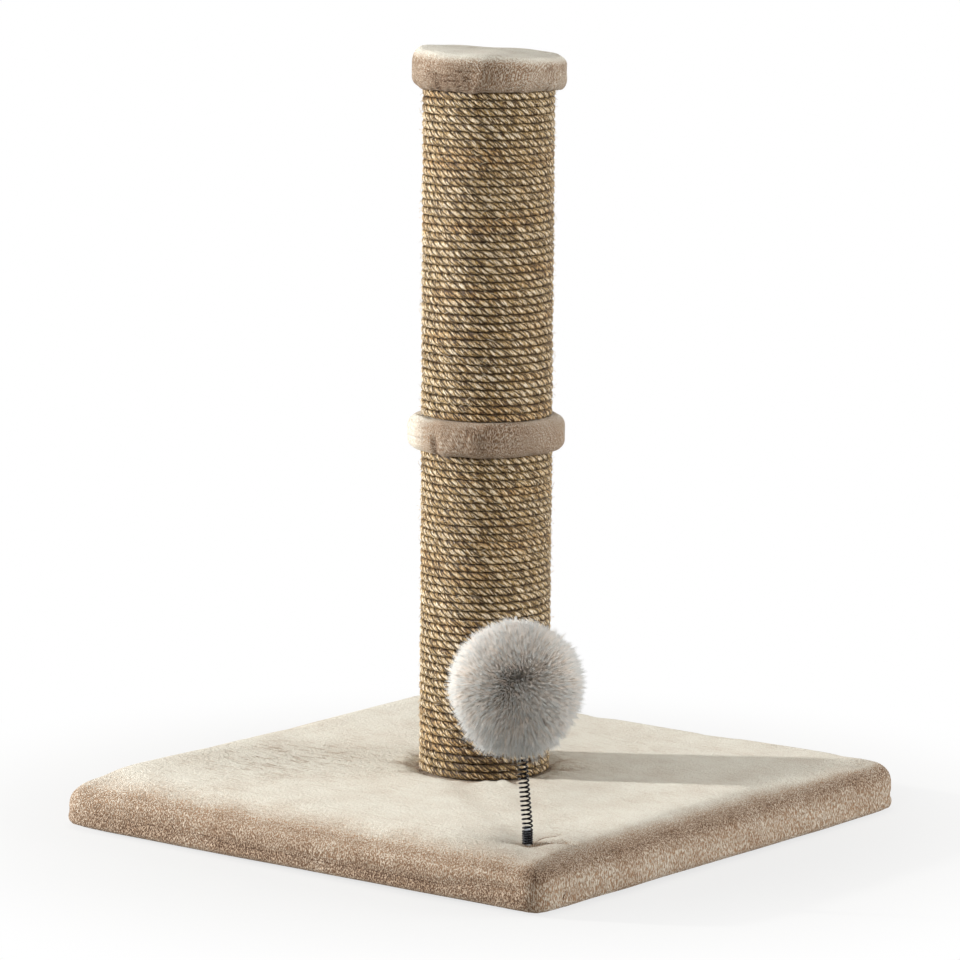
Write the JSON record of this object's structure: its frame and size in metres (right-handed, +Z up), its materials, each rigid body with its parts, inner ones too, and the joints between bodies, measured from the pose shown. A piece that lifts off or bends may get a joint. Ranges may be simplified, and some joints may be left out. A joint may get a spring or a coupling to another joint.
{
  "type": "cat scratching post",
  "caption": "Free-standing scratching post on a square plush-covered base, wound with sisal rope in two sections, with plush disc and cap and a pompom swaying on a coil spring.",
  "frame": {"origin": "centre of the face that stands on the floor, on the post's axis", "axes": "+Z up along the post; +X and -Y point to the two sides next to the corner that carries the toy"},
  "size_m": [0.4, 0.4058, 0.5075],
  "materials": {
    "plush": "short-pile plush, warm beige",
    "sisal_rope": "natural three-strand sisal",
    "particle_board": "raw particle board",
    "plug_wood": "raw softwood",
    "tube_card": "spiral-wound kraft card",
    "foam": "soft polyurethane foam",
    "backing_felt": "non-woven felt",
    "zinc_steel": "zinc-plated steel",
    "spring_steel": "blackened spring wire",
    "faux_fur": "long-pile faux fur, pale grey",
    "polyester_fill": "polyester filling"
  },
  "bodies": {
    "stand": {"base_backing": "backing_felt", "base_board": "particle_board", "base_foam": "foam", "base_cover": "plush", "cover_staples": "zinc_steel", "backing_staples": "zinc_steel", "post_bolt": "zinc_steel", "bolt_washer": "zinc_steel", "tee_nuts": "zinc_steel", "plug_brads": "zinc_steel", "lower_tube": "tube_card", "lower_foot_plug": "plug_wood", "lower_top_plug": "plug_wood", "rope_lower": "sisal_rope", "joint_stud": "zinc_steel", "mid_disc": "particle_board", "mid_disc_cover": "plush", "upper_tube": "tube_card", "upper_foot_plug": "plug_wood", "upper_top_plug": "plug_wood", "rope_upper": "sisal_rope", "cap_stud": "zinc_steel", "cap_disc": "particle_board", "cap_cover": "plush", "spring_screw": "zinc_steel"},
    "spring": {"toy_spring": "spring_steel"},
    "pompom": {"pompom_peg": "plug_wood", "pompom_stuffing": "polyester_fill", "pompom_fur": "faux_fur"}
  },
  "joints": [
    {"name": "toy_sway_side", "type": "hinge", "parent": "stand", "child": "spring", "pos_m": [0.15724, -0.15859, 0.05621], "axis": [-0.7071, 0.7071, 0], "range_deg": [-50, 50], "stiffness_Nm_per_rad": 0.25, "deforming": ["toy_spring"]},
    {"name": "toy_sway_fore", "type": "hinge", "parent": "spring", "child": "pompom", "pos_m": [0.15566, -0.15982, 0.07912], "axis": [0.7071, 0.7071, 0], "range_deg": [-50, 50], "stiffness_Nm_per_rad": 0.25, "deforming": ["toy_spring"]}
  ]
}
